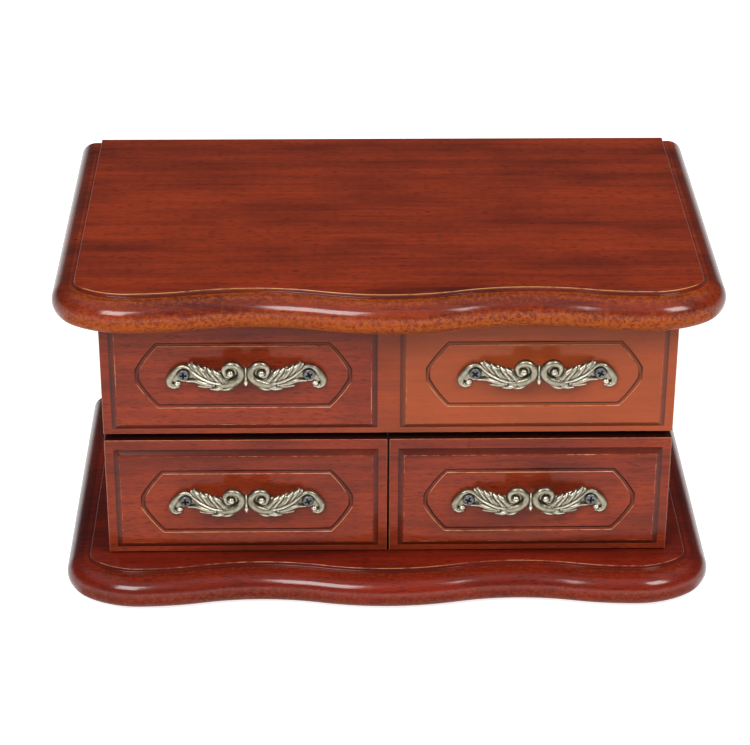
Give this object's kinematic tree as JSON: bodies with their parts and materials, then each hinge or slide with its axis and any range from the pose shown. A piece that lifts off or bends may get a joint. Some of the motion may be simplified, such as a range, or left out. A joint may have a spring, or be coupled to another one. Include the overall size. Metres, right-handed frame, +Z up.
{
  "type": "ballerina music box",
  "caption": "Lacquered music and jewellery box with a serpentine lid and plinth, false drawers above real drawers, scroll pulls, a mirror, and a wound movement that turns a dancer.",
  "frame": {"origin": "middle of the plinth's footprint, on the underside of the felt that the box stands on", "axes": "+X to the right of someone facing the drawers, +Y from the drawers to the hinged back, +Z up"},
  "size_m": [0.266, 0.1789, 0.1428],
  "materials": {
    "mahogany_lacquer": "high gloss mahogany lacquer",
    "dark_wood": "satin stained wood",
    "felt": "black felt",
    "velvet": "wine red velvet",
    "antique_metal": "antique pewter casting",
    "black_screw": "blackened steel",
    "brass": "polished brass",
    "steel": "bright steel",
    "mirror": "silvered glass",
    "white_plastic": "moulded plastic",
    "figure": "painted moulded plastic",
    "tulle": "stiffened tulle"
  },
  "bodies": {
    "case": {"plinth": "mahogany_lacquer", "base_felt": "felt", "plinth_screws": "steel", "side_left": "mahogany_lacquer", "side_right": "mahogany_lacquer", "back_panel": "mahogany_lacquer", "front_fascia": "mahogany_lacquer", "compartment_floor": "dark_wood", "drawer_partition": "dark_wood", "fascia_pull_left": "antique_metal", "fascia_pull_right": "antique_metal", "fascia_pull_screws": "black_screw", "floor_velvet": "velvet", "ring_rolls": "velvet", "tray_dividers": "velvet", "movement_housing": "velvet", "movement_cover": "velvet", "stage": "velvet", "movement_frame": "steel", "spring_housing": "brass", "mainspring": "steel", "comb": "steel", "movement_screws": "steel", "hinge_leaves_case": "brass", "hinge_pins": "brass", "hinge_screws_case": "brass", "stop_spring": "steel"},
    "lid": {"lid_slab": "mahogany_lacquer", "mirror": "mirror", "mirror_frame": "dark_wood", "hinge_leaves_lid": "brass", "hinge_screws_lid": "brass"},
    "drawer_left": {"drawer_left_front": "mahogany_lacquer", "drawer_left_sides": "dark_wood", "drawer_left_back": "dark_wood", "drawer_left_bottom": "dark_wood", "drawer_left_velvet": "velvet", "drawer_left_pull": "antique_metal", "drawer_left_pull_screws": "black_screw"},
    "drawer_right": {"drawer_right_front": "mahogany_lacquer", "drawer_right_sides": "dark_wood", "drawer_right_back": "dark_wood", "drawer_right_bottom": "dark_wood", "drawer_right_velvet": "velvet", "drawer_right_pull": "antique_metal", "drawer_right_pull_screws": "black_screw"},
    "winding": {"winding_arbor": "steel", "great_wheel": "brass", "winding_key": "brass"},
    "pinned_cylinder": {"cylinder": "brass", "cylinder_arbor": "steel", "cylinder_pinion": "brass", "stage_drive_gear": "white_plastic"},
    "governor_gear": {"governor_wheel": "white_plastic"},
    "air_fly": {"governor_fly": "white_plastic"},
    "dancer": {"dancer_spindle": "white_plastic", "dancer_spring": "steel", "dancer_figure": "figure", "dancer_skirt": "tulle"},
    "lid_stop": {"stop_pin": "brass"}
  },
  "joints": [
    {"name": "lid_hinge", "type": "hinge", "parent": "case", "child": "lid", "pos_m": [0, 0.08305, 0.1276], "axis": [-1, 0, 0], "range_deg": [0, 95]},
    {"name": "drawer_left_slide", "type": "slide", "parent": "case", "child": "drawer_left", "axis": [0, -1, 0], "range_m": [0, 0.09]},
    {"name": "drawer_right_slide", "type": "slide", "parent": "case", "child": "drawer_right", "axis": [0, -1, 0], "range_m": [0, 0.09]},
    {"name": "winding_spin", "type": "hinge", "parent": "case", "child": "winding", "pos_m": [0, 0.07385, 0.0864], "axis": [0, 1, 0], "continuous": true},
    {"name": "cylinder_spin", "type": "hinge", "parent": "case", "child": "pinned_cylinder", "pos_m": [0, 0.05185, 0.0959], "axis": [0, 0, 1], "continuous": true},
    {"name": "dancer_spin", "type": "hinge", "parent": "case", "child": "dancer", "pos_m": [0, 0.02305, 0.0805], "axis": [0, 0, 1], "continuous": true},
    {"name": "governor_spin", "type": "hinge", "parent": "case", "child": "governor_gear", "pos_m": [-0.0091, 0.05185, 0.1178], "axis": [0, 0, 1], "continuous": true},
    {"name": "fly_spin", "type": "hinge", "parent": "case", "child": "air_fly", "pos_m": [-0.0182, 0.05185, 0.1178], "axis": [0, 0, 1], "continuous": true},
    {"name": "stop_slide", "type": "slide", "parent": "case", "child": "lid_stop", "axis": [0, 0, 1], "range_m": [0, 0.004], "deforming": ["stop_spring"]}
  ],
  "couplings": [
    {"joint": "cylinder_spin", "follows": "winding_spin", "ratio": -2},
    {"joint": "dancer_spin", "follows": "winding_spin", "ratio": 1},
    {"joint": "governor_spin", "follows": "winding_spin", "ratio": 8},
    {"joint": "fly_spin", "follows": "winding_spin", "ratio": -32},
    {"joint": "stop_slide", "follows": "lid_hinge", "m_per_rad": 0.002412}
  ]
}
